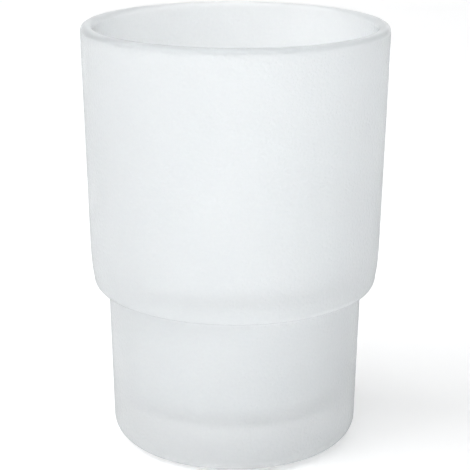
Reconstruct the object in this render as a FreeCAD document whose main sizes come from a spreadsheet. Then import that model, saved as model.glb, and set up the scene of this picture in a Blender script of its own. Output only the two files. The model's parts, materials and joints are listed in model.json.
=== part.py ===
import FreeCAD, Part
import math
import os

import Sketcher

# A bathroom tumbler, pressed in one piece from clear glass and then etched to a
# satin frost. A drafted body ends below in a rounded shoulder, which steps in to
# a narrower drafted foot. The foot drops into the ring of a wall holder and the
# shoulder's underside rests on that ring. The base is thick, with a shallow
# hollow under it that leaves a standing ring, and the rim is a full round bead.
#
# Lengths are in millimetres and angles in degrees. The origin is the centre of
# the standing plane, and +Z runs up the glass's axis.

SIZES = {
    "height": 98.0,                 # standing plane to the top of the rim
    "foot_diameter": 59.0,          # outside of the foot, right under the shoulder
    "foot_draft": 1.4,              # lean of the foot's wall, wider upwards
    "foot_wall": 3.2,               # glass in the foot's wall, right under the shoulder
    "base_corner_radius": 4.8,      # rounding between the foot's wall and the base
    "shoulder_height": 36.5,        # standing plane to the shoulder's underside at the foot
    "shoulder_overhang": 4.1,       # how far the body stands out over the foot
    "shoulder_slope": 15.0,         # rise of the shoulder's underside, going outwards
    "shoulder_corner_radius": 2.5,  # tight lower corner of the shoulder
    "shoulder_draw_radius": 50.0,   # slow curve that draws the body's wall into that corner
    "shoulder_draw_angle": 8.7,     # how far the slow curve turns
    "neck_radius": 0.8,             # hollow corner where the shoulder meets the foot
    "body_draft": 1.5,              # lean of the body's wall, wider upwards
    "body_wall": 2.9,               # glass in the body's wall, which the rim bead rounds off
    "rim_flat": 0.1,                # flat left on top between the bead's two roundings
    "step_glass": 3.8,              # glass from the neck up to the step inside
    "step_slope": 40.0,             # rise of the step inside, going outwards
    "step_outer_radius": 5.0,       # hollow corner where the step meets the body's bore
    "step_inner_radius": 5.0,       # round corner where the step meets the foot's bore
    "floor_thickness": 10.5,        # glass under the middle of the floor inside
    "floor_dish": 0.6,              # how much higher the floor's edge is than its middle
    "floor_corner_radius": 5.0,     # hollow corner between the floor and the foot's bore
    "standing_ring_width": 2.2,     # flat ring that the glass stands on, inside that rounding
    "punt_depth": 1.2,              # hollow under the base, inside the ring, at its middle
}

GLASS_DENSITY = 2.5e-6              # kilograms in a cubic millimetre of soda-lime glass
CUBIC_MM_PER_ML = 1000.0

START, END, CENTRE = 1, 2, 3        # a sketch's numbers for the points of a line or an arc
ORIGIN = (-1, START)                # a sketch's own origin
UPRIGHT = -2                        # a sketch's own vertical axis, here the glass's axis
NORMAL = FreeCAD.Vector(0, 0, 1)    # the way a sketch's arcs turn about


def add_sizes(document):
    """Write every driving size into a sheet under its own name."""
    sheet = document.addObject("Spreadsheet::Sheet", "Sizes")
    for row, (name, value) in enumerate(SIZES.items(), start=1):
        sheet.set(f"A{row}", name)
        sheet.set(f"B{row}", str(value))
        sheet.setAlias(f"B{row}", name)
    document.recompute()
    return sheet


def point(radius, height):
    """A point of the half section: distance from the axis, height above the table."""
    return FreeCAD.Vector(radius, height, 0)


def line(start, end):
    return Part.LineSegment(start, end)


def arc(centre, radius, from_angle, to_angle):
    """An arc that turns counter-clockwise, between two angles in degrees."""
    circle = Part.Circle(centre, NORMAL, radius)
    return Part.ArcOfCircle(circle, math.radians(from_angle), math.radians(to_angle))


def add_section(body, name):
    """A sketch on the body's upright plane: across is the radius, up is the height."""
    sketch = body.newObject("Sketcher::SketchObject", name)
    upright_plane = next(item for item in body.Origin.OriginFeatures if item.Role == "XZ_Plane")
    sketch.AttachmentSupport = [(upright_plane, "")]
    sketch.MapMode = "FlatFace"
    return sketch


def join(sketch, pieces, smooth=()):
    """Close the outline, each piece's end on the next one's start, smoothly where asked."""
    for piece, following in zip(pieces, pieces[1:] + pieces[:1]):
        kind = "Tangent" if (piece, following) in smooth else "Coincident"
        sketch.addConstraint(Sketcher.Constraint(kind, piece, END, following, START))


def dimension(sketch, name, formula, kind, *where):
    """Add a named dimension that the sheet drives through a formula."""
    value = FreeCAD.Units.Quantity(sketch.evalExpression(formula)).Value
    if kind == "Angle":
        value = math.radians(value)
    index = sketch.addConstraint(Sketcher.Constraint(kind, *where, value))
    sketch.renameConstraint(index, name)
    sketch.setExpression(f"Constraints.{name}", formula)


def measure(sketch, name, kind, *where):
    """Add a named dimension that only reads the outline, for other formulas to use."""
    index = sketch.addConstraint(Sketcher.Constraint(kind, *where, 1.0))
    sketch.setDriving(index, False)
    sketch.renameConstraint(index, name)


def turn(body, kind, name, sketch):
    """Turn a closed section once round the axis, to add glass or to cut it away."""
    feature = body.newObject(kind, name)
    feature.Profile = sketch
    feature.ReferenceAxis = (sketch, ["V_Axis"])
    feature.Angle = 360
    sketch.Visibility = False
    return feature


def ring_edge(feature, corner):
    """Name of the feature's circular edge that runs through a corner of the section."""
    def miss(item):
        curve = item[1].Curve
        return math.hypot(curve.Radius - corner.x, curve.Center.z - corner.y)

    def is_ring(edge):
        if edge.Degenerated:        # a dome's pole has an edge with no length and no curve
            return False
        return isinstance(edge.Curve, Part.Circle) and abs(edge.Curve.Axis.z) > 0.9

    edges = enumerate(feature.Shape.Edges, start=1)
    number, _ = min([item for item in edges if is_ring(item[1])], key=miss)
    return f"Edge{number}"


def round_corners(body, name, formula, corners):
    """Round the ring edges that run through these corners with one driven radius."""
    base = body.Tip
    fillet = body.newObject("PartDesign::Fillet", name)
    fillet.Base = (base, [ring_edge(base, corner) for corner in corners])
    fillet.setExpression("Radius", formula)
    body.Document.recompute()
    return fillet


def outward(lean):
    """The way out of a wall that leans by this many degrees from upright."""
    return point(math.cos(math.radians(lean)), -math.sin(math.radians(lean)))


def draw_outside(body, sheet):
    """Half section of the solid blank: base, foot, shoulder, body and rim plane."""
    foot_radius = sheet.foot_diameter / 2
    foot_lean_in = sheet.shoulder_height * math.tan(math.radians(sheet.foot_draft))
    draw_lean = sheet.body_draft + sheet.shoulder_draw_angle
    underside_lean = 90 - sheet.shoulder_slope

    # The underside's flat is what the overhang leaves after the two curves.
    draw_centre_gap = sheet.shoulder_draw_radius - sheet.shoulder_corner_radius
    curves = (outward(sheet.body_draft) * sheet.shoulder_draw_radius
              - outward(draw_lean) * draw_centre_gap
              - outward(underside_lean) * sheet.shoulder_corner_radius)
    along_underside = point(math.cos(math.radians(sheet.shoulder_slope)),
                            math.sin(math.radians(sheet.shoulder_slope)))
    flat = (sheet.shoulder_overhang - curves.x) / along_underside.x

    neck = point(foot_radius, sheet.shoulder_height)
    flat_end = neck + along_underside * flat
    corner_centre = flat_end - outward(underside_lean) * sheet.shoulder_corner_radius
    draw_centre = corner_centre - outward(draw_lean) * draw_centre_gap
    draw_start = corner_centre + outward(draw_lean) * sheet.shoulder_corner_radius
    draw_end = draw_centre + outward(sheet.body_draft) * sheet.shoulder_draw_radius
    body_rise = sheet.height - draw_end.y
    rim = draw_end + point(body_rise * math.tan(math.radians(sheet.body_draft)), body_rise)
    foot_corner = point(foot_radius - foot_lean_in, 0)
    middle = point(0, 0)
    top = point(0, sheet.height)

    sketch = add_section(body, "outside_section")
    pieces = base, foot, underside, corner, draw, wall, mouth, axis = sketch.addGeometry([
        line(middle, foot_corner),
        line(foot_corner, neck),
        line(neck, flat_end),
        arc(corner_centre, sheet.shoulder_corner_radius, -underside_lean, -draw_lean),
        arc(draw_centre, sheet.shoulder_draw_radius, -draw_lean, -sheet.body_draft),
        line(draw_end, rim),
        line(rim, top),
        line(top, middle),
    ])
    join(sketch, list(pieces), smooth=[(underside, corner), (corner, draw), (draw, wall)])
    sketch.addConstraint(Sketcher.Constraint("Coincident", base, START, *ORIGIN))
    sketch.addConstraint(Sketcher.Constraint("Horizontal", base))
    sketch.addConstraint(Sketcher.Constraint("Horizontal", mouth))
    sketch.addConstraint(Sketcher.Constraint("Vertical", axis))
    dimension(sketch, "foot_radius", "Sizes.foot_diameter / 2",
              "DistanceX", *ORIGIN, foot, END)
    dimension(sketch, "shoulder_height", "Sizes.shoulder_height",
              "DistanceY", *ORIGIN, foot, END)
    dimension(sketch, "foot_lean", "90 deg - Sizes.foot_draft * 1 deg",
              "Angle", foot)
    dimension(sketch, "underside_slope", "Sizes.shoulder_slope * 1 deg",
              "Angle", underside)
    dimension(sketch, "corner_radius", "Sizes.shoulder_corner_radius",
              "Radius", corner)
    dimension(sketch, "draw_radius", "Sizes.shoulder_draw_radius",
              "Radius", draw)
    dimension(sketch, "draw_turn", "Sizes.shoulder_draw_angle * 1 deg",
              "Angle", draw)
    dimension(sketch, "overhang", "Sizes.shoulder_overhang",
              "DistanceX", foot, END, draw, END)
    dimension(sketch, "wall_lean", "90 deg - Sizes.body_draft * 1 deg",
              "Angle", wall)
    dimension(sketch, "height", "Sizes.height",
              "DistanceY", *ORIGIN, wall, END)
    measure(sketch, "base_radius", "DistanceX", *ORIGIN, foot, START)
    measure(sketch, "rim_radius", "DistanceX", *ORIGIN, wall, END)
    body.Document.recompute()
    corners = {
        "foot": sketch.getPoint(foot, START),
        "neck": sketch.getPoint(foot, END),
        "rim": sketch.getPoint(wall, END),
    }
    return sketch, corners


def draw_cavity(body, sheet, rim_radius):
    """Half section of the inside: dished floor, foot's bore, step and body's bore."""
    foot_tilt = math.tan(math.radians(sheet.foot_draft))
    body_tilt = math.tan(math.radians(sheet.body_draft))
    step_tilt = math.tan(math.radians(sheet.step_slope))
    floor_edge_height = sheet.floor_thickness + sheet.floor_dish

    step_inner = point(sheet.foot_diameter / 2 - sheet.foot_wall + sheet.step_glass * foot_tilt,
                       sheet.shoulder_height + sheet.step_glass)
    floor_edge = point(step_inner.x - (step_inner.y - floor_edge_height) * foot_tilt,
                       floor_edge_height)
    rim_inner = point(rim_radius - sheet.body_wall, sheet.height)
    # The step's line and the body's bore meet where both give the same radius.
    bore_at_step = rim_inner.x - (sheet.height - step_inner.y) * body_tilt
    step_rise = (bore_at_step - step_inner.x) / (1 / step_tilt - body_tilt)
    step_outer = step_inner + point(step_rise / step_tilt, step_rise)
    dish_radius = (floor_edge.x ** 2 + sheet.floor_dish ** 2) / (2 * sheet.floor_dish)
    dish_turn = math.degrees(math.asin(floor_edge.x / dish_radius))
    floor_middle = point(0, sheet.floor_thickness)
    top = point(0, sheet.height)

    sketch = add_section(body, "cavity_section")
    pieces = floor, foot_bore, step, body_bore, mouth, axis = sketch.addGeometry([
        arc(point(0, sheet.floor_thickness + dish_radius), dish_radius, -90, dish_turn - 90),
        line(floor_edge, step_inner),
        line(step_inner, step_outer),
        line(step_outer, rim_inner),
        line(rim_inner, top),
        line(top, floor_middle),
    ])
    join(sketch, list(pieces))
    sketch.addConstraint(Sketcher.Constraint("PointOnObject", floor, START, UPRIGHT))
    sketch.addConstraint(Sketcher.Constraint("PointOnObject", floor, CENTRE, UPRIGHT))
    sketch.addConstraint(Sketcher.Constraint("Vertical", axis))
    sketch.addConstraint(Sketcher.Constraint("Horizontal", mouth))
    dimension(sketch, "floor_height", "Sizes.floor_thickness",
              "DistanceY", *ORIGIN, floor, START)
    dimension(sketch, "floor_dish", "Sizes.floor_dish",
              "DistanceY", floor, START, floor, END)
    dimension(sketch, "foot_bore_lean", "90 deg - Sizes.foot_draft * 1 deg",
              "Angle", foot_bore)
    dimension(sketch, "step_height", "Sizes.shoulder_height + Sizes.step_glass",
              "DistanceY", *ORIGIN, foot_bore, END)
    dimension(sketch, "step_radius",
              "Sizes.foot_diameter / 2 - Sizes.foot_wall"
              " + Sizes.step_glass * tan(Sizes.foot_draft * 1 deg)",
              "DistanceX", *ORIGIN, foot_bore, END)
    dimension(sketch, "step_slope", "Sizes.step_slope * 1 deg",
              "Angle", step)
    dimension(sketch, "body_bore_lean", "90 deg - Sizes.body_draft * 1 deg",
              "Angle", body_bore)
    dimension(sketch, "rim_bore", "outside_section.Constraints.rim_radius - Sizes.body_wall * 1 mm",
              "DistanceX", *ORIGIN, body_bore, END)
    dimension(sketch, "height", "Sizes.height",
              "DistanceY", *ORIGIN, body_bore, END)
    body.Document.recompute()
    corners = {
        "floor": sketch.getPoint(foot_bore, START),
        "step_inner": sketch.getPoint(foot_bore, END),
        "step_outer": sketch.getPoint(body_bore, START),
        "rim": sketch.getPoint(body_bore, END),
    }
    return sketch, corners


def draw_punt(body, sheet, base_radius):
    """Half section of the shallow hollow under the base, a cap of a large sphere."""
    corner_run = sheet.base_corner_radius * math.tan(math.radians(45 + sheet.foot_draft / 2))
    punt_radius = base_radius - corner_run - sheet.standing_ring_width
    cap_radius = (punt_radius ** 2 + sheet.punt_depth ** 2) / (2 * sheet.punt_depth)
    cap_turn = math.degrees(math.asin(punt_radius / cap_radius))
    middle = point(0, 0)
    edge = point(punt_radius, 0)
    crown = point(0, sheet.punt_depth)

    sketch = add_section(body, "punt_section")
    pieces = table, cap, axis = sketch.addGeometry([
        line(middle, edge),
        arc(point(0, sheet.punt_depth - cap_radius), cap_radius, 90 - cap_turn, 90),
        line(crown, middle),
    ])
    join(sketch, list(pieces))
    sketch.addConstraint(Sketcher.Constraint("Coincident", table, START, *ORIGIN))
    sketch.addConstraint(Sketcher.Constraint("Horizontal", table))
    sketch.addConstraint(Sketcher.Constraint("Vertical", axis))
    sketch.addConstraint(Sketcher.Constraint("PointOnObject", cap, CENTRE, UPRIGHT))
    dimension(sketch, "punt_radius",
              "outside_section.Constraints.base_radius - Sizes.standing_ring_width * 1 mm"
              " - Sizes.base_corner_radius * 1 mm * tan(45 deg + Sizes.foot_draft * 0.5 deg)",
              "DistanceX", *ORIGIN, table, END)
    dimension(sketch, "punt_depth", "Sizes.punt_depth",
              "DistanceY", *ORIGIN, cap, END)
    body.Document.recompute()
    return sketch


def cut_away(body, name, sketch):
    """Cut a turned section out of the glass, and make sure that it really cut."""
    before = body.Shape.Volume
    turn(body, "PartDesign::Groove", name, sketch)
    body.Document.recompute()
    removed = before - body.Shape.Volume
    if removed <= 0:
        raise RuntimeError(f"{name} removed no glass")
    return removed


def make_tumbler(document, sheet):
    """The pressed glass: a turned blank, a cavity, a hollow base, and its roundings."""
    body = document.addObject("PartDesign::Body", "tumbler")
    body.Label = "tumbler"
    body.Placement = FreeCAD.Placement()

    outside, outer = draw_outside(body, sheet)
    turn(body, "PartDesign::Revolution", "blank", outside)
    document.recompute()

    cavity, inner = draw_cavity(body, sheet, outer["rim"].x)
    brimful = cut_away(body, "cavity", cavity)
    cut_away(body, "punt", draw_punt(body, sheet, outer["foot"].x))

    round_corners(body, "neck_corner", "Sizes.neck_radius", [outer["neck"]])
    round_corners(body, "step_outer_corner", "Sizes.step_outer_radius", [inner["step_outer"]])
    round_corners(body, "step_inner_corner", "Sizes.step_inner_radius", [inner["step_inner"]])
    round_corners(body, "floor_corner", "Sizes.floor_corner_radius", [inner["floor"]])
    round_corners(body, "base_corner", "Sizes.base_corner_radius", [outer["foot"]])
    round_corners(body, "rim_bead", "(Sizes.body_wall - Sizes.rim_flat) / 2",
                  [outer["rim"], inner["rim"]])

    print(f"rim {2 * outer['rim'].x:.2f} mm across, holds {brimful / CUBIC_MM_PER_ML:.0f} ml"
          f" to the brim, weighs {body.Shape.Volume * GLASS_DENSITY * 1000:.0f} g")
    return body


def check(document, pieces):
    """Stop if any object failed to build or any piece is not a sound solid."""
    for item in document.Objects:
        if "Invalid" in item.State or "Error" in item.State:
            raise RuntimeError(f"{item.Name} did not build: {item.State}")
    for piece in pieces:
        if piece.Shape.isNull() or not piece.Shape.isValid() or len(piece.Shape.Solids) != 1:
            raise RuntimeError(f"{piece.Label} is not one sound solid")


document = FreeCAD.newDocument("bathroom_tumbler")
sizes = add_sizes(document)
pieces = [make_tumbler(document, sizes)]
document.recompute()
check(document, pieces)

os.makedirs("parts", exist_ok=True)
for piece in pieces:
    piece.Shape.exportStep(f"parts/{piece.Label}.step")
    box = piece.Shape.optimalBoundingBox()
    print(f"{piece.Label}: {box.XLength:.2f} x {box.YLength:.2f} x {box.ZLength:.2f} mm,"
          f" from z {box.ZMin:.3f}")
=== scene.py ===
# %% [markdown]
# # A frosted bathroom tumbler
#
# The real object is one pressed glass: a tapered body, a rounded shoulder that steps in to
# a narrower foot, a thick base and a round rim. The whole surface is etched to a satin frost,
# inside and out. This lesson turns its half section into a solid of glass, gives it the
# frost, and lights it as in a small product studio.

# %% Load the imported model, which is the fixed frame
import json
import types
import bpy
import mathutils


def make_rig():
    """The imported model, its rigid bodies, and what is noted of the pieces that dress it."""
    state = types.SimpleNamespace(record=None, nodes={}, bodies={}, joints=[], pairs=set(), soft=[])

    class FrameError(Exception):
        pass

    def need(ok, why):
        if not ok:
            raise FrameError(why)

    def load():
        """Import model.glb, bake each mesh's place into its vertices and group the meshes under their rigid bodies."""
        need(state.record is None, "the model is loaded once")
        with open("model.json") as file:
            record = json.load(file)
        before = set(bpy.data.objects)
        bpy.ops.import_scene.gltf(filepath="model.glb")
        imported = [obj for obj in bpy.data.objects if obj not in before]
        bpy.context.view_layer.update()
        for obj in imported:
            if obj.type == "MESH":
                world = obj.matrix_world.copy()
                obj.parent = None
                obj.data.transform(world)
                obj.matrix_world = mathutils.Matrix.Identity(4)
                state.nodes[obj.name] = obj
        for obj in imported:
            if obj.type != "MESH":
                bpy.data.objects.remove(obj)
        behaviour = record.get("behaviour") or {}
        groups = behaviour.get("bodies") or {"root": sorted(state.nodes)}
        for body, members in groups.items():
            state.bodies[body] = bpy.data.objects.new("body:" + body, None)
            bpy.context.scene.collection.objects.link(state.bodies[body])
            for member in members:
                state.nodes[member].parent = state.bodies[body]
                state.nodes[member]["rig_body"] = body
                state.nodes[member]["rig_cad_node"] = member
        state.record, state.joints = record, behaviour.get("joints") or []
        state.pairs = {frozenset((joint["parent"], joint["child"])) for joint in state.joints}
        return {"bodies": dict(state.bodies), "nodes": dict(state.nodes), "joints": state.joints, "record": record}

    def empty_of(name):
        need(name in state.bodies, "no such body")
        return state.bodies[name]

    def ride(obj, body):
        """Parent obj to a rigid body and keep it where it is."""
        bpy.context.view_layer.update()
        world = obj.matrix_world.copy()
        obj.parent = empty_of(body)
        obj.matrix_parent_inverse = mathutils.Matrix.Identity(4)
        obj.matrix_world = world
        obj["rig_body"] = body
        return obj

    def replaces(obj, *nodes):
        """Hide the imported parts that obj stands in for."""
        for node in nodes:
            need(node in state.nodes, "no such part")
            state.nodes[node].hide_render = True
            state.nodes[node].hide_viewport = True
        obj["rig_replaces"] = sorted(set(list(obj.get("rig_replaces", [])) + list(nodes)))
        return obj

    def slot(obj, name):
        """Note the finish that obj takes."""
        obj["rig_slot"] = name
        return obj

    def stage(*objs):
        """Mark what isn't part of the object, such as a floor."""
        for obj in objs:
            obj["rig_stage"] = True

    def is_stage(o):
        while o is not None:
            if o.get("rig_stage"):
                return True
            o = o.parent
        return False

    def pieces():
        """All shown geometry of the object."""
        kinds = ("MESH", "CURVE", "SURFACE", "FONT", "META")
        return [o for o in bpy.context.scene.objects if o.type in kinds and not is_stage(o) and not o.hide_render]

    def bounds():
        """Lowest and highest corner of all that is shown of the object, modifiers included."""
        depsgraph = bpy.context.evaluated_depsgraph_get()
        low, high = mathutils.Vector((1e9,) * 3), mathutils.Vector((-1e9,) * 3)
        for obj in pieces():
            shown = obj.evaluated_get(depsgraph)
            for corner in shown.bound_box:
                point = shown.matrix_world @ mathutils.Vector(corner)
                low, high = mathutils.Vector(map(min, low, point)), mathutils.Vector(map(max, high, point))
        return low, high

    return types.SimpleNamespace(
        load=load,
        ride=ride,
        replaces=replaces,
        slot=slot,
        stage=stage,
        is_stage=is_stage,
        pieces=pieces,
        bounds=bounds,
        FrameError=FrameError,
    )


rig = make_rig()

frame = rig.load()
cad_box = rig.bounds()

import json
import math

import bmesh
import bpy
from mathutils import Matrix, Vector

MM = 0.001                      # Blender works in metres here
scene = bpy.context.scene
print("the glass measures", [round((b - a) / MM, 2) for a, b in zip(*cad_box)], "mm")

# %% [markdown]
# ## The half section
#
# A glass that is pressed in a round mould is fully told by half of its section: the line that
# would be left if it were sawn in two and one half of the cut were inked. It could be drawn as
# a Bezier curve by eye, but a mould maker draws straight walls first and then rounds each
# corner with a known radius. The section is kept that way here: a few sharp corners, each
# with its rounding, worked out from the mould's own sizes.

# %% Sizes of the mould, in millimetres and degrees
HEIGHT = cad_box[1].z / MM
FOOT_RADIUS = 29.5              # under the shoulder
FOOT_DRAFT = 1.4
FOOT_WALL = 3.2
BASE_ROUNDING = 4.8
SHOULDER_HEIGHT = 36.5
SHOULDER_OVERHANG = 4.1
SHOULDER_SLOPE = 15.0
SHOULDER_ROUNDING = 2.5
DRAW_ROUNDING = 50.0            # slow curve that draws the wall into the shoulder
DRAW_TURN = 8.7
NECK_ROUNDING = 0.8
BODY_DRAFT = 1.5
BODY_WALL = 2.9
RIM_FLAT = 0.1                  # left on top between the rim's two roundings
RIM_ROUNDING = (BODY_WALL - RIM_FLAT) / 2
STEP_GLASS = 3.8                # from the neck up to the step inside
STEP_SLOPE = 40.0
STEP_ROUNDING = 5.0
FLOOR_THICKNESS = 10.5
FLOOR_DISH = 0.6
FLOOR_ROUNDING = 5.0
STANDING_RING = 2.2
PUNT_DEPTH = 1.2


def tan(degrees):
    """The tangent of an angle in degrees."""
    return math.tan(math.radians(degrees))


def along(lean):
    """One step up a wall that leans outwards by this many degrees."""
    return Vector((math.sin(math.radians(lean)), math.cos(math.radians(lean))))


# %% Corners of the outside, from the base up to the rim
UNDERSIDE_LEAN = 90 - SHOULDER_SLOPE
DRAW_LEAN = BODY_DRAFT + DRAW_TURN
tight_run = SHOULDER_ROUNDING * tan((UNDERSIDE_LEAN - DRAW_LEAN) / 2)
slow_run = DRAW_ROUNDING * tan(DRAW_TURN / 2)
out_of_curves = (along(DRAW_LEAN) * (tight_run + slow_run) + along(BODY_DRAFT) * slow_run).x
underside_run = (SHOULDER_OVERHANG - out_of_curves) / along(UNDERSIDE_LEAN).x

neck = Vector((FOOT_RADIUS, SHOULDER_HEIGHT))
base_corner = Vector((FOOT_RADIUS - SHOULDER_HEIGHT * tan(FOOT_DRAFT), 0))
shoulder_corner = neck + along(UNDERSIDE_LEAN) * underside_run
draw_corner = shoulder_corner + along(DRAW_LEAN) * (tight_run + slow_run)
rim_rise = HEIGHT - draw_corner.y
rim_outer = draw_corner + Vector((rim_rise * tan(BODY_DRAFT), rim_rise))
ring_inner = base_corner.x - BASE_ROUNDING * tan(45 + FOOT_DRAFT / 2) - STANDING_RING
print("rim", round(2 * rim_outer.x, 2), "mm across, foot", 2 * FOOT_RADIUS, "mm across")

# %% Corners of the inside, from the rim down to the floor
rim_inner = rim_outer - Vector((BODY_WALL, 0))
step_inner = Vector((FOOT_RADIUS - FOOT_WALL + STEP_GLASS * tan(FOOT_DRAFT),
                     SHOULDER_HEIGHT + STEP_GLASS))
bore_at_step = rim_inner.x - (HEIGHT - step_inner.y) * tan(BODY_DRAFT)
step_rise = (bore_at_step - step_inner.x) / (1 / tan(STEP_SLOPE) - tan(BODY_DRAFT))
step_outer = step_inner + Vector((step_rise / tan(STEP_SLOPE), step_rise))
floor_edge = FLOOR_THICKNESS + FLOOR_DISH
floor_corner = Vector((step_inner.x - (step_inner.y - floor_edge) * tan(FOOT_DRAFT), floor_edge))
print("bore", round(2 * bore_at_step, 2), "mm across over the step and",
      round(2 * floor_corner.x, 2), "at the floor")


def bowl(middle_height, edge, facets):
    """Points of a bowl, from its middle on the axis out towards its edge.

    The bowl is a parabola, which is as good as a circle's arc where it is this shallow.
    """
    rise = edge.y - middle_height
    return [Vector((edge.x * i / facets, middle_height + rise * (i / facets) ** 2))
            for i in range(facets)]


# %% The whole outline: each corner with its rounding
BOWL_FACETS = 8
section = [(p, 0) for p in bowl(PUNT_DEPTH, Vector((ring_inner, 0)), BOWL_FACETS)]
section += [
    (Vector((ring_inner, 0)), 0),
    (base_corner, BASE_ROUNDING),
    (neck, NECK_ROUNDING),
    (shoulder_corner, SHOULDER_ROUNDING),
    (draw_corner, DRAW_ROUNDING),
    (rim_outer, RIM_ROUNDING),
    (rim_inner, RIM_ROUNDING),
    (step_outer, STEP_ROUNDING),
    (step_inner, STEP_ROUNDING),
    (floor_corner, FLOOR_ROUNDING),
]
section += [(p, 0) for p in reversed(bowl(FLOOR_THICKNESS, floor_corner, BOWL_FACETS))]
print(len(section), "corners in the half section")

# %% [markdown]
# ## Turning the section into glass
#
# The Screw modifier or the Spin tool could turn this line round the axis, but they would need
# the rounded line first. Geometry Nodes do both in one tree: Fillet Curve rounds every corner
# with its own radius, and Curve to Mesh sweeps the rounded line along a circle, as a mould is
# turned on a lathe. The radii ride along as an attribute of the corners.

# %% The section as a line of corners that carry their rounding
DEGREES_PER_FACET = 4.0


def bend_at(i):
    """How many degrees the outline turns at corner i."""
    before = section[i][0] - section[i - 1][0]
    after = section[i + 1][0] - section[i][0]
    return math.degrees(before.angle(after))


facets = [max(1, round(bend_at(i) / DEGREES_PER_FACET)) if rounding else 1
          for i, (_, rounding) in enumerate(section)]
drawing = bpy.data.meshes.new("half_section")
drawing.from_pydata([(p.x * MM, p.y * MM, 0) for p, _ in section],
                    [(i, i + 1) for i in range(len(section) - 1)], [])
drawing.attributes.new("rounding", "FLOAT", "POINT").data.foreach_set(
    "value", [rounding * MM for _, rounding in section])
drawing.attributes.new("facets", "INT", "POINT").data.foreach_set("value", facets)
glass = bpy.data.objects.new("frosted_tumbler", drawing)
scene.collection.objects.link(glass)
print(sum(facets), "facets will round the corners")


# %% Helpers for node trees
def add_socket(tree, name, kind, value=None, in_out="INPUT"):
    """A named socket on the outside of a node tree, with its default value."""
    socket = tree.interface.new_socket(name, in_out=in_out, socket_type=kind)
    if value is not None:
        socket.default_value = value
    return socket


def add_node(tree, kind, **settings):
    """A node of this kind; a setting whose name is one of its inputs goes there."""
    node = tree.nodes.new(kind)
    for name, value in settings.items():
        if name in node.inputs:
            node.inputs[name].default_value = value
        else:
            setattr(node, name, value)
    return node


def chain(tree, *steps):
    """Link each node's first output to the next node's first input."""
    for source, target in zip(steps, steps[1:]):
        tree.links.new(source.outputs[0], target.inputs[0])


# %% The lathe, as a Geometry Nodes tree, and what it is given
FACETS_AROUND = 256

lathe = bpy.data.node_groups.new("lathe", "GeometryNodeTree")
lathe.is_modifier = True
add_socket(lathe, "Section", "NodeSocketGeometry")
around_socket = add_socket(lathe, "Facets Around", "NodeSocketInt", FACETS_AROUND)
radius_socket = add_socket(lathe, "Turning Radius", "NodeSocketFloat", FOOT_RADIUS * MM)
glass_socket = add_socket(lathe, "Glass", "NodeSocketMaterial")
rim_glass_socket = add_socket(lathe, "Rim Glass", "NodeSocketMaterial")
rim_start_socket = add_socket(lathe, "Rim Start", "NodeSocketFloat", HEIGHT * MM)
add_socket(lathe, "Solid", "NodeSocketGeometry", in_out="OUTPUT")
print(len(lathe.interface.items_tree), "sockets on the lathe")

# %% The nodes of the lathe
WELD_DISTANCE = 1e-6            # metres; joins the points that meet on the axis

given = add_node(lathe, "NodeGroupInput")
to_line = add_node(lathe, "GeometryNodeMeshToCurve")
round_off = add_node(lathe, "GeometryNodeFilletCurve", mode="POLY")
rounding_of = add_node(lathe, "GeometryNodeInputNamedAttribute", data_type="FLOAT", Name="rounding")
facets_of = add_node(lathe, "GeometryNodeInputNamedAttribute", data_type="INT", Name="facets")
inwards = add_node(lathe, "ShaderNodeMath", operation="MULTIPLY")
inwards.inputs[1].default_value = -1
from_axis = add_node(lathe, "ShaderNodeCombineXYZ")
shift = add_node(lathe, "GeometryNodeTransform", Rotation=(math.pi, 0, 0))
circle = add_node(lathe, "GeometryNodeCurvePrimitiveCircle")
upright = add_node(lathe, "GeometryNodeSetCurveNormal", mode="Z_UP")
sweep = add_node(lathe, "GeometryNodeCurveToMesh")
face_out = add_node(lathe, "GeometryNodeFlipFaces")
close_poles = add_node(lathe, "GeometryNodeMergeByDistance", Distance=WELD_DISTANCE)
smooth = add_node(lathe, "GeometryNodeSetShadeSmooth")
realize = add_node(lathe, "GeometryNodeRealizeInstances")
face_place = add_node(lathe, "GeometryNodeInputPosition")
face_height = add_node(lathe, "ShaderNodeSeparateXYZ")
above = add_node(lathe, "FunctionNodeCompare", data_type="FLOAT", operation="GREATER_THAN")
dress = add_node(lathe, "GeometryNodeSetMaterial")
dress_rim = add_node(lathe, "GeometryNodeSetMaterial")
solid = add_node(lathe, "NodeGroupOutput")
print(len(lathe.nodes), "nodes in the lathe")

# %% Its links: round the section off, turn it, then give it its two glasses
chain(lathe, given, to_line, round_off, shift)
chain(lathe, circle, upright, sweep, face_out, close_poles, smooth, realize, dress, dress_rim,
      solid)
chain(lathe, face_place, face_height)
lathe.links.new(rounding_of.outputs["Attribute"], round_off.inputs["Radius"])
lathe.links.new(facets_of.outputs["Attribute"], round_off.inputs["Count"])
lathe.links.new(given.outputs["Turning Radius"], inwards.inputs[0])
lathe.links.new(inwards.outputs[0], from_axis.inputs["X"])
lathe.links.new(from_axis.outputs[0], shift.inputs["Translation"])
lathe.links.new(given.outputs["Facets Around"], circle.inputs["Resolution"])
lathe.links.new(given.outputs["Turning Radius"], circle.inputs["Radius"])
lathe.links.new(shift.outputs[0], sweep.inputs["Profile Curve"])
lathe.links.new(given.outputs["Glass"], dress.inputs["Material"])
lathe.links.new(face_height.outputs["Z"], above.inputs["A"])
lathe.links.new(given.outputs["Rim Start"], above.inputs["B"])
lathe.links.new(above.outputs["Result"], dress_rim.inputs["Selection"])
lathe.links.new(given.outputs["Rim Glass"], dress_rim.inputs["Material"])
print(len(lathe.links), "links in the lathe")

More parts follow.
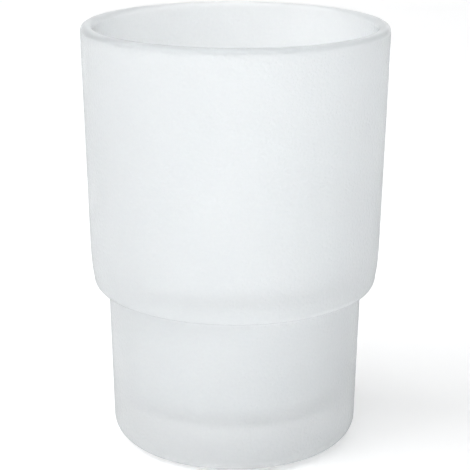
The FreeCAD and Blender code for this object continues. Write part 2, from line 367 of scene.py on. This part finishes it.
# %% [markdown]
# ## The frost
#
# Etched glass is clear glass with a skin of tiny pits, left by the acid bath. A white paint
# would hide what is behind it, so the frost is made as a rough surface on real, refracting
# glass: light comes through, but no picture does. The bath never bites quite evenly, and
# that gives two effects, each at its own size: pits that show as a fine grain, and soft
# clouds about a centimetre wide. Real pits are too small to see one by one, so the grain
# here is coarser and deeper than they are. A third effect is a guess that the photograph
# doesn't show: hands and shelves wear the frost smooth at the rim and on the ring that the
# glass stands on, for less than a millimetre. A picture of frost could be wrapped round the
# glass, but it would have a seam, so noise that fills space is used instead. The same group
# can frost any other piece.


# %% The etching, as a group of shader nodes
def add_noise(tree, place, per_metre, detail, roughness):
    """Noise that fills space, with this many grains per metre."""
    noise = add_node(tree, "ShaderNodeTexNoise", Detail=detail, Roughness=roughness)
    tree.links.new(place, noise.inputs["Vector"])
    tree.links.new(per_metre, noise.inputs["Scale"])
    return noise.outputs["Fac"]


PITS_PER_METRE = 1500
CLOUDS_PER_METRE = 90
WORN_DEPTH = 0.0009             # how far down from the rim, and up from the shelf, it wears

etching = bpy.data.node_groups.new("etching", "ShaderNodeTree")
add_socket(etching, "Place", "NodeSocketVector")
add_socket(etching, "Pits per Metre", "NodeSocketFloat", PITS_PER_METRE)
add_socket(etching, "Clouds per Metre", "NodeSocketFloat", CLOUDS_PER_METRE)
add_socket(etching, "Rim Height", "NodeSocketFloat", HEIGHT * MM)
add_socket(etching, "Worn Depth", "NodeSocketFloat", WORN_DEPTH)
for name in ("Pits", "Clouds", "Wear"):
    add_socket(etching, name, "NodeSocketFloat", in_out="OUTPUT")

asked = add_node(etching, "NodeGroupInput")
found = add_node(etching, "NodeGroupOutput")
pits = add_noise(etching, asked.outputs["Place"], asked.outputs["Pits per Metre"],
                 detail=2.0, roughness=0.6)
clouds = add_noise(etching, asked.outputs["Place"], asked.outputs["Clouds per Metre"],
                   detail=3.0, roughness=0.55)
etching.links.new(clouds, found.inputs["Clouds"])
print("pits about", round(1 / PITS_PER_METRE / MM, 2), "mm wide, clouds about",
      round(1 / CLOUDS_PER_METRE / MM, 1), "mm wide")

# %% Wear: how near a point is to the rim or to the standing ring, from 0 to 1
point_height = add_node(etching, "ShaderNodeSeparateXYZ")
below_rim = add_node(etching, "ShaderNodeMath", operation="SUBTRACT")
nearer = add_node(etching, "ShaderNodeMath", operation="MINIMUM")
wear = add_node(etching, "ShaderNodeMapRange", interpolation_type="SMOOTHSTEP")
wear.inputs["To Min"].default_value = 1
wear.inputs["To Max"].default_value = 0
etching.links.new(asked.outputs["Place"], point_height.inputs[0])
etching.links.new(asked.outputs["Rim Height"], below_rim.inputs[0])
etching.links.new(point_height.outputs["Z"], below_rim.inputs[1])
etching.links.new(below_rim.outputs[0], nearer.inputs[0])
etching.links.new(point_height.outputs["Z"], nearer.inputs[1])
etching.links.new(nearer.outputs[0], wear.inputs["Value"])
etching.links.new(asked.outputs["Worn Depth"], wear.inputs["From Max"])
etching.links.new(wear.outputs["Result"], found.inputs["Wear"])

# %% Wear also rubs the pits flat
FLAT = 0.5                      # the middle of the noise, neither a pit nor a bump

rubbed = add_node(etching, "ShaderNodeMix", data_type="FLOAT", B=FLAT)
etching.links.new(wear.outputs["Result"], rubbed.inputs["Factor"])
etching.links.new(pits, rubbed.inputs["A"])
etching.links.new(rubbed.outputs["Result"], found.inputs["Pits"])
print(len(etching.nodes), "nodes in the etching")

# %% Frosted glass: a refracting surface that also scatters some light back
GLASS_IOR = 1.5                 # how strongly window and table glass bend light


def add_frosted_glass(name, milkiness):
    """A glass whose pits scatter this share of the light back, and its etching."""
    material = bpy.data.materials.new(name)
    material.use_nodes = True
    tree = material.node_tree
    shader = tree.nodes["Principled BSDF"]
    shader.inputs["Transmission Weight"].default_value = 1 - milkiness
    shader.inputs["IOR"].default_value = GLASS_IOR
    where = add_node(tree, "ShaderNodeTexCoord")
    frost = add_node(tree, "ShaderNodeGroup", node_tree=etching)
    frost.inputs["Rim Height"].default_value = HEIGHT * MM
    frost.inputs["Worn Depth"].default_value = WORN_DEPTH
    tree.links.new(where.outputs["Object"], frost.inputs["Place"])
    return material, frost


# %% Clouds and wear set the roughness
NOISE_LOW, NOISE_HIGH = 0.3, 0.7        # nearly all of the noise lies between these
WORN = 0.30                     # roughness where it is worn


def add_softness(material, frost, thin, thick):
    """Roughness from the first number, where the frost is thin, to the second."""
    tree = material.node_tree
    roughness = add_node(tree, "ShaderNodeMapRange")
    for name, value in (("From Min", NOISE_LOW), ("From Max", NOISE_HIGH),
                        ("To Min", thin), ("To Max", thick)):
        roughness.inputs[name].default_value = value
    polish = add_node(tree, "ShaderNodeMix", data_type="FLOAT", B=WORN)
    tree.links.new(frost.outputs["Clouds"], roughness.inputs["Value"])
    tree.links.new(frost.outputs["Wear"], polish.inputs["Factor"])
    tree.links.new(roughness.outputs["Result"], polish.inputs["A"])
    tree.links.new(polish.outputs["Result"], tree.nodes["Principled BSDF"].inputs["Roughness"])


# %% Pits set the grain, in the colour and in the surface
PIT_DEPTH = 0.00018             # metres
GRAIN = 0.6                     # how much of the tint follows the pits, the rest the clouds
THICK_TINT = (0.935, 0.957, 0.969, 1)
THIN_TINT = (0.980, 0.995, 1.0, 1)


def add_grain(material, frost):
    """A speckled tint, and a bump that makes the pits catch the light."""
    tree = material.node_tree
    speckle = add_node(tree, "ShaderNodeMix", data_type="FLOAT", Factor=GRAIN)
    spread = add_node(tree, "ShaderNodeMapRange")
    for name, value in (("From Min", NOISE_LOW), ("From Max", NOISE_HIGH)):
        spread.inputs[name].default_value = value
    tint = add_node(tree, "ShaderNodeMix", data_type="RGBA")
    tint.inputs["A"].default_value = THIN_TINT
    tint.inputs["B"].default_value = THICK_TINT
    bump = add_node(tree, "ShaderNodeBump", Distance=PIT_DEPTH, Strength=1.0)
    shader = tree.nodes["Principled BSDF"]
    tree.links.new(frost.outputs["Clouds"], speckle.inputs["A"])
    tree.links.new(frost.outputs["Pits"], speckle.inputs["B"])
    tree.links.new(speckle.outputs["Result"], spread.inputs["Value"])
    tree.links.new(spread.outputs["Result"], tint.inputs["Factor"])
    tree.links.new(tint.outputs["Result"], shader.inputs["Base Color"])
    tree.links.new(frost.outputs["Pits"], bump.inputs["Height"])
    tree.links.new(bump.outputs["Normal"], shader.inputs["Normal"])


# %% [markdown]
# ## Two glasses for one tumbler
#
# In the photograph the rim shows a dark line round a bright one, stronger than the frost of
# the walls would give. A likely cause is that the maker melts a rim smooth in a flame, so
# that it is kind to lips, and that this skin takes less frost. A texture could change the
# share of the light that the glass lets through. It is kept as one plain number for each
# material instead, which other programs can read too, so the rim gets a second glass, with
# the same etching and less milk in it.

# %% The glass of the walls and the glass of the rim
etched, frost = add_frosted_glass("etched_glass", milkiness=0.35)
add_softness(etched, frost, thin=0.47, thick=0.53)
add_grain(etched, frost)

polished, frost = add_frosted_glass("polished_glass", milkiness=0.05)
add_softness(polished, frost, thin=WORN, thick=WORN)
add_grain(polished, frost)
print("materials:", etched.name, "and", polished.name)

# %% Turn the glass, then keep the result as a plain mesh
turning = glass.modifiers.new("turning", "NODES")
turning.node_group = lathe
turning[around_socket.identifier] = FACETS_AROUND
turning[radius_socket.identifier] = FOOT_RADIUS * MM
turning[glass_socket.identifier] = etched
turning[rim_glass_socket.identifier] = polished
turning[rim_start_socket.identifier] = (HEIGHT - RIM_ROUNDING) * MM
evaluated = glass.evaluated_get(bpy.context.evaluated_depsgraph_get())
turned = bpy.data.meshes.new_from_object(evaluated)
glass.modifiers.remove(turning)
glass.data = turned
glass.data.name = "frosted_tumbler"
rim_faces = sum(face.material_index == turned.materials.find(polished.name)
                for face in turned.polygons)
print(len(turned.vertices), "points,", len(turned.polygons), "faces,", rim_faces, "on the rim")

# %% Measure its volume: a closed solid with its faces outwards has one above zero
CUBIC_MM_PER_ML = 1000

shape = bmesh.new()
shape.from_mesh(turned)
volume = shape.calc_volume(signed=True) / MM ** 3 / CUBIC_MM_PER_ML
open_edges = sum(not edge.is_manifold for edge in shape.edges)
shape.free()
print("the glass itself fills", round(volume, 2), "ml and has", open_edges, "open edges")

# %% Hand the piece over
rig.ride(glass, "root")
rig.replaces(glass, "tumbler")
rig.slot(glass, "frosted_glass")
print(glass.name, "stands in for the tumbler, with", len(turned.materials), "materials")

# %% [markdown]
# ## The studio
#
# Frosted glass shows the light around it, spread out, so its looks come from the studio as
# much as from the material. A large softbox on the left is the strongest lamp, and one
# overhead the next. Weaker ones on the right and behind soften the shaded side, and a low
# strip behind lights the inside of the glass and its rim. The background has to be white,
# and that white must not light the paper or any dull surface. Light Path tells rays apart:
# those that look, from the camera or through and off the glass, see the paper glow, and
# those that light dull surfaces don't. The lamps' level is the usual one for a product
# picture: a mid-grey card that faces the camera in the glass's place comes out about as grey
# as it is.


# %% A mask for rays of some kinds
def add_ray_mask(tree, *kinds):
    """A value of 1 for rays of these kinds, and of 0 for all others."""
    rays = add_node(tree, "ShaderNodeLightPath")
    mask = rays.outputs[kinds[0]]
    for kind in kinds[1:]:
        either = add_node(tree, "ShaderNodeMath", operation="MAXIMUM")
        tree.links.new(mask, either.inputs[0])
        tree.links.new(rays.outputs[kind], either.inputs[1])
        mask = either.outputs[0]
    return mask


# %% The floor: flat white paper, which glows more far out, where less lamplight falls
WHITE = (1, 1, 1, 1)
FLOOR_REACH = 4.0               # metres from the glass to each edge
FLOOR_COLOR = (0.88, 0.885, 0.89, 1)
PAPER_ROUGHNESS = 0.9
NEAR_GLOW, FAR_GLOW = 0.33, 1.0
GLOW_START, GLOW_END = 0.9, 2.2         # metres from the glass

ground = bpy.data.meshes.new("floor")
ground.from_pydata([(x * FLOOR_REACH, y * FLOOR_REACH, 0)
                    for x, y in ((-1, -1), (1, -1), (1, 1), (-1, 1))], [], [(0, 1, 2, 3)])
floor = bpy.data.objects.new("floor", ground)
scene.collection.objects.link(floor)
paper = bpy.data.materials.new("studio_paper")
paper.use_nodes = True
sheet = paper.node_tree
paper_shader = sheet.nodes["Principled BSDF"]
paper_shader.inputs["Base Color"].default_value = FLOOR_COLOR
paper_shader.inputs["Roughness"].default_value = PAPER_ROUGHNESS
paper_shader.inputs["Emission Color"].default_value = WHITE
spot = add_node(sheet, "ShaderNodeTexCoord")
away = add_node(sheet, "ShaderNodeVectorMath", operation="LENGTH")
glow_rise = add_node(sheet, "ShaderNodeMapRange", interpolation_type="SMOOTHSTEP")
for name, value in (("From Min", GLOW_START), ("From Max", GLOW_END),
                    ("To Min", NEAR_GLOW), ("To Max", FAR_GLOW)):
    glow_rise.inputs[name].default_value = value
glow = add_node(sheet, "ShaderNodeMath", operation="MULTIPLY")
sheet.links.new(spot.outputs["Object"], away.inputs[0])
sheet.links.new(away.outputs["Value"], glow_rise.inputs["Value"])
sheet.links.new(glow_rise.outputs["Result"], glow.inputs[0])
lookers = add_ray_mask(sheet, "Is Camera Ray", "Is Glossy Ray", "Is Transmission Ray")
sheet.links.new(lookers, glow.inputs[1])
sheet.links.new(glow.outputs[0], paper_shader.inputs["Emission Strength"])
ground.materials.append(paper)
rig.stage(floor)
print("the floor is", 2 * FLOOR_REACH, "m across")

# %% The light all around
SKY_LIGHT = 0.08                # what falls on dull surfaces
WALLS_SEEN = 0.30               # what rays off and through the glass see level with it
CEILING_SEEN = 1.00             # and what they see overhead; the camera sees white
WALLS_END, CEILING_STARTS = 0.1, 0.9    # how far up a ray points, from 0 level to 1 upright

world = bpy.data.worlds.new("studio")
scene.world = world
world.use_nodes = True
air = world.node_tree
sky = air.nodes["Background"]
sky.inputs["Color"].default_value = WHITE
outwards = add_node(air, "ShaderNodeTexCoord")
upwards = add_node(air, "ShaderNodeSeparateXYZ")
room = add_node(air, "ShaderNodeMapRange", interpolation_type="SMOOTHSTEP")
for name, value in (("From Min", WALLS_END), ("From Max", CEILING_STARTS),
                    ("To Min", WALLS_SEEN), ("To Max", CEILING_SEEN)):
    room.inputs[name].default_value = value
level = add_node(air, "ShaderNodeMapRange")
level.inputs["To Min"].default_value = SKY_LIGHT
white = add_node(air, "ShaderNodeMath", operation="MAXIMUM")
air.links.new(outwards.outputs["Generated"], upwards.inputs[0])
air.links.new(upwards.outputs["Z"], room.inputs["Value"])
air.links.new(add_ray_mask(air, "Is Glossy Ray", "Is Transmission Ray"), level.inputs["Value"])
air.links.new(room.outputs["Result"], level.inputs["To Max"])
air.links.new(level.outputs["Result"], white.inputs[0])
air.links.new(add_ray_mask(air, "Is Camera Ray"), white.inputs[1])
air.links.new(white.outputs[0], sky.inputs["Strength"])
print(len(air.nodes), "nodes in the world")

# %% Helpers for lamps
LAMP_DISTANCE = 1.6             # metres


def add_lamp(name, place, aim, width, height, power):
    """A flat lamp that looks from one point at another, and that the camera doesn't see."""
    lamp_data = bpy.data.lights.new(name, "AREA")
    lamp_data.shape = "RECTANGLE"
    lamp_data.size = width
    lamp_data.size_y = height
    lamp_data.energy = power
    lamp = bpy.data.objects.new(name, lamp_data)
    lamp.location = place
    lamp.rotation_euler = (place - aim).to_track_quat("Z", "Y").to_euler()
    lamp.visible_camera = False
    scene.collection.objects.link(lamp)
    return lamp


def add_softbox(name, azimuth, elevation, width, height, power):
    """A lamp that looks at the glass; azimuth 0 is the camera's side, 90 its right."""
    aim = Vector((0, 0, HEIGHT * MM / 2))
    turn, lift = math.radians(azimuth), math.radians(elevation)
    away = Vector((math.sin(turn) * math.cos(lift), -math.cos(turn) * math.cos(lift),
                   math.sin(lift)))
    return add_lamp(name, aim + away * LAMP_DISTANCE, aim, width, height, power)


# %% The softboxes: name, azimuth, elevation, width and height in metres, power in watts
SOFTBOXES = (
    ("left_softbox", -78, 42, 1.8, 1.3, 20.4),
    ("right_softbox", 108, 32, 1.2, 1.2, 3.0),
    ("right_strip", 100, 8, 0.8, 0.3, 1.8),
    ("top_softbox", 0, 65, 0.9, 0.9, 7.6),
    ("back_softbox", 180, 45, 1.2, 1.2, 1.8),
    ("back_window", 180, 22, 1.2, 0.6, 1.4),
    ("back_strip", 180, 3, 1.6, 0.16, 1.8),
)
for softbox in SOFTBOXES:
    add_softbox(*softbox)
print(len(SOFTBOXES), "softboxes of", round(sum(softbox[-1] for softbox in SOFTBOXES), 1), "W")

# %% White cards, made as faint lamps: one stands in front of the glass, two lie by its foot
STANDING_CARD = Vector((0.02, -0.30, 0.055))
NEAR_CARD = Vector((0.0, -0.09, 0.003))
RIGHT_CARD = Vector((0.12, -0.16, 0.003))
UP = Vector((0, 0, 1))

# name, place, what it faces, width and height in metres, power in watts
add_lamp("standing_card", STANDING_CARD, Vector((0, 0, STANDING_CARD.z)), 0.3, 0.1, 0.26)
add_lamp("near_card", NEAR_CARD, NEAR_CARD + UP, 0.12, 0.06, 0.008)
add_lamp("right_card", RIGHT_CARD, RIGHT_CARD + UP, 0.16, 0.16, 0.06)
print(len(bpy.data.lights), "lamps in all")

# %% [markdown]
# ## The camera
#
# The photograph was taken from a little above the rim. Place, tilt and lens were worked out
# from the ellipse of the rim, the curve of the base and both outlines, for a picture as wide
# as it is high. The distance is the least certain of them: a camera two or three
# centimetres further off, with a longer lens, fits the outline as well.

# %% Camera
CAMERA_PLACE = Vector((0.00002, -0.3575, 0.1542))
LOOKS_DOWN = 16.515             # degrees below level
LEANS = 0.1756                  # degrees that the photograph is turned
LENS = 122.26                   # millimetres
SENSOR_WIDTH = 36               # millimetres

camera_data = bpy.data.cameras.new("camera")
camera_data.lens = LENS
camera_data.sensor_width = SENSOR_WIDTH
camera = bpy.data.objects.new("camera", camera_data)
camera.matrix_world = (Matrix.Translation(CAMERA_PLACE)
                       @ Matrix.Rotation(math.radians(90 - LOOKS_DOWN), 4, "X")
                       @ Matrix.Rotation(math.radians(LEANS), 4, "Z"))
scene.collection.objects.link(camera)
scene.camera = camera
scene.view_settings.view_transform = "Standard"
print("the camera is", round(CAMERA_PLACE.length, 3), "m from the middle of the base")

# %% The sizes, to compare after each render
with open("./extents.json", "w") as f:
    json.dump({"cad": [list(v) for v in cad_box], "visual": [list(v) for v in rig.bounds()]}, f)
print(open("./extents.json").read())
